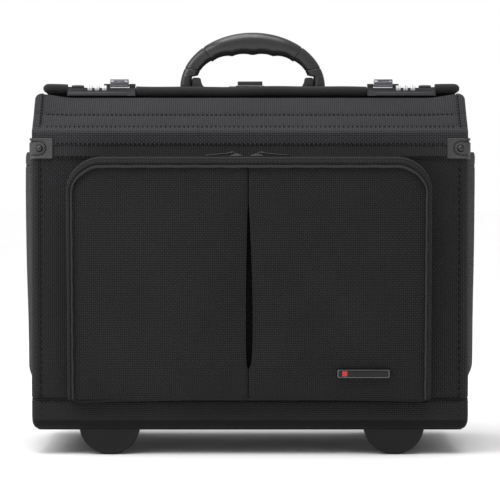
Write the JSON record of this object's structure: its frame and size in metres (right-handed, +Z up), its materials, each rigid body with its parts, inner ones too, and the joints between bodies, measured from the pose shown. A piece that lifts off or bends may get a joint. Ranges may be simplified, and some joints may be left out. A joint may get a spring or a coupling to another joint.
{
  "type": "pilot rolling flight case",
  "caption": "Wheeled soft-sided pilot case with a folding front flap, a hinged rear lid with combination locks and a carry handle, and a telescopic trolley handle.",
  "frame": {"origin": "middle of the whole case's footprint, on the floor it stands on", "axes": "+Z up, +X to the right of someone facing the front pocket, the front faces -Y"},
  "size_m": [0.51, 0.2857, 0.4698],
  "materials": {
    "body_fabric": "matte",
    "lining": "matte",
    "guard_plastic": "satin",
    "dark_steel": "satin",
    "bright_steel": "polished",
    "dial_white": "satin",
    "handle_plastic": "satin",
    "moulded_plastic": "satin",
    "button_plastic": "gloss",
    "tube_aluminium": "satin",
    "wheel_tyre": "matte",
    "badge_gloss": "gloss"
  },
  "bodies": {
    "case": {"bottom_tray": "body_fabric", "front_panel": "body_fabric", "back_panel": "body_fabric", "side_panel_left": "body_fabric", "side_panel_right": "body_fabric", "trolley_deck": "moulded_plastic", "tube_cover": "lining", "corner_guard_left": "guard_plastic", "corner_guard_right": "guard_plastic", "corner_rivet_left": "dark_steel", "corner_rivet_right": "dark_steel", "front_pocket": "body_fabric", "badge": "badge_gloss", "side_pocket_left": "body_fabric", "side_pocket_right": "body_fabric", "trolley_foot": "moulded_plastic", "trolley_outer_tube_left": "tube_aluminium", "trolley_outer_tube_right": "tube_aluminium", "foot_left": "moulded_plastic", "foot_right": "moulded_plastic", "wheel_housing_left": "moulded_plastic", "wheel_housing_right": "moulded_plastic", "wheel_axle_left": "dark_steel", "wheel_axle_right": "dark_steel"},
    "flap": {"front_flap": "body_fabric", "lock_strike_left": "dark_steel", "lock_strike_right": "dark_steel"},
    "lid": {"rear_lid": "body_fabric", "lid_edge_roll": "body_fabric", "handle_bracket_left": "handle_plastic", "handle_bracket_right": "handle_plastic", "handle_pin_left": "dark_steel", "handle_pin_right": "dark_steel", "lock_base_left": "dark_steel", "lock_base_right": "dark_steel"},
    "handle": {"handle_grip": "handle_plastic", "handle_arm_left": "handle_plastic", "handle_arm_right": "handle_plastic"},
    "trolley_middle": {"trolley_middle_tube_left": "tube_aluminium", "trolley_middle_tube_right": "tube_aluminium"},
    "trolley_inner": {"trolley_inner_tube_left": "tube_aluminium", "trolley_inner_tube_right": "tube_aluminium", "trolley_grip": "moulded_plastic"},
    "button": {"trolley_button": "button_plastic"},
    "hasp_left": {"lock_hasp_left": "bright_steel"},
    "latch_left": {"lock_latch_left": "dark_steel"},
    "dial_left_a": {"lock_dial_left_a": "dial_white"},
    "dial_left_b": {"lock_dial_left_b": "dial_white"},
    "dial_left_c": {"lock_dial_left_c": "dial_white"},
    "wheel_left": {"wheel_left": "wheel_tyre"},
    "zip_slider_left": {"zip_slider_left": "bright_steel"},
    "zip_pull_left": {"zip_pull_left": "bright_steel"},
    "hasp_right": {"lock_hasp_right": "bright_steel"},
    "latch_right": {"lock_latch_right": "dark_steel"},
    "dial_right_a": {"lock_dial_right_a": "dial_white"},
    "dial_right_b": {"lock_dial_right_b": "dial_white"},
    "dial_right_c": {"lock_dial_right_c": "dial_white"},
    "wheel_right": {"wheel_right": "wheel_tyre"},
    "zip_slider_right": {"zip_slider_right": "bright_steel"},
    "zip_pull_right": {"zip_pull_right": "bright_steel"}
  },
  "joints": [
    {"name": "front_flap_hinge", "type": "hinge", "parent": "case", "child": "flap", "pos_m": [0, -0.109, 0.3556], "axis": [1, 0, 0], "range_deg": [0, 170]},
    {"name": "rear_lid_hinge", "type": "hinge", "parent": "case", "child": "lid", "pos_m": [0, 0.084, 0.397], "axis": [-1, 0, 0], "range_deg": [0, 90]},
    {"name": "carry_handle_hinge", "type": "hinge", "parent": "lid", "child": "handle", "pos_m": [0.003, 0, 0.414], "axis": [1, 0, 0], "range_deg": [-78, 78]},
    {"name": "trolley_middle_slide", "type": "slide", "parent": "case", "child": "trolley_middle", "axis": [0, 0, 1], "range_m": [0, 0.29]},
    {"name": "trolley_inner_slide", "type": "slide", "parent": "trolley_middle", "child": "trolley_inner", "axis": [0, 0, 1], "range_m": [0, 0.28]},
    {"name": "trolley_button_press", "type": "slide", "parent": "trolley_inner", "child": "button", "axis": [0, 0, -1], "range_m": [0, 0.003], "stiffness_N_per_m": 300},
    {"name": "hasp_left_hinge", "type": "hinge", "parent": "lid", "child": "hasp_left", "pos_m": [-0.1465, -0.0365, 0.4085], "axis": [-1, 0, 0], "range_deg": [0, 95]},
    {"name": "latch_left_slide", "type": "slide", "parent": "lid", "child": "latch_left", "axis": [-1, 0, 0], "range_m": [0, 0.004], "stiffness_N_per_m": 100},
    {"name": "dial_left_a_spin", "type": "hinge", "parent": "lid", "child": "dial_left_a", "pos_m": [-0.1635, -0.043, 0.4045], "axis": [1, 0, 0], "continuous": true},
    {"name": "dial_left_b_spin", "type": "hinge", "parent": "lid", "child": "dial_left_b", "pos_m": [-0.1716, -0.043, 0.4045], "axis": [1, 0, 0], "continuous": true},
    {"name": "dial_left_c_spin", "type": "hinge", "parent": "lid", "child": "dial_left_c", "pos_m": [-0.1797, -0.043, 0.4045], "axis": [1, 0, 0], "continuous": true},
    {"name": "wheel_left_spin", "type": "hinge", "parent": "case", "child": "wheel_left", "pos_m": [-0.16, 0.113, 0.03], "axis": [1, 0, 0], "continuous": true},
    {"name": "zip_left_travel", "type": "slide", "parent": "case", "child": "zip_slider_left", "axis": [-1, 0, 0], "range_m": [0, 0.13]},
    {"name": "zip_pull_left_hinge", "type": "hinge", "parent": "zip_slider_left", "child": "zip_pull_left", "pos_m": [-0.0199, -0.1165, 0.3326], "axis": [0, -1, 0], "range_deg": [-90, 0]},
    {"name": "hasp_right_hinge", "type": "hinge", "parent": "lid", "child": "hasp_right", "pos_m": [0.1495, -0.0365, 0.4085], "axis": [-1, 0, 0], "range_deg": [0, 95]},
    {"name": "latch_right_slide", "type": "slide", "parent": "lid", "child": "latch_right", "axis": [1, 0, 0], "range_m": [0, 0.004], "stiffness_N_per_m": 100},
    {"name": "dial_right_a_spin", "type": "hinge", "parent": "lid", "child": "dial_right_a", "pos_m": [0.1665, -0.043, 0.4045], "axis": [1, 0, 0], "continuous": true},
    {"name": "dial_right_b_spin", "type": "hinge", "parent": "lid", "child": "dial_right_b", "pos_m": [0.1746, -0.043, 0.4045], "axis": [1, 0, 0], "continuous": true},
    {"name": "dial_right_c_spin", "type": "hinge", "parent": "lid", "child": "dial_right_c", "pos_m": [0.1827, -0.043, 0.4045], "axis": [1, 0, 0], "continuous": true},
    {"name": "wheel_right_spin", "type": "hinge", "parent": "case", "child": "wheel_right", "pos_m": [0.16, 0.113, 0.03], "axis": [1, 0, 0], "continuous": true},
    {"name": "zip_right_travel", "type": "slide", "parent": "case", "child": "zip_slider_right", "axis": [1, 0, 0], "range_m": [0, 0.13]},
    {"name": "zip_pull_right_hinge", "type": "hinge", "parent": "zip_slider_right", "child": "zip_pull_right", "pos_m": [0.0135, -0.1165, 0.3326], "axis": [0, 1, 0], "range_deg": [-90, 0]}
  ]
}
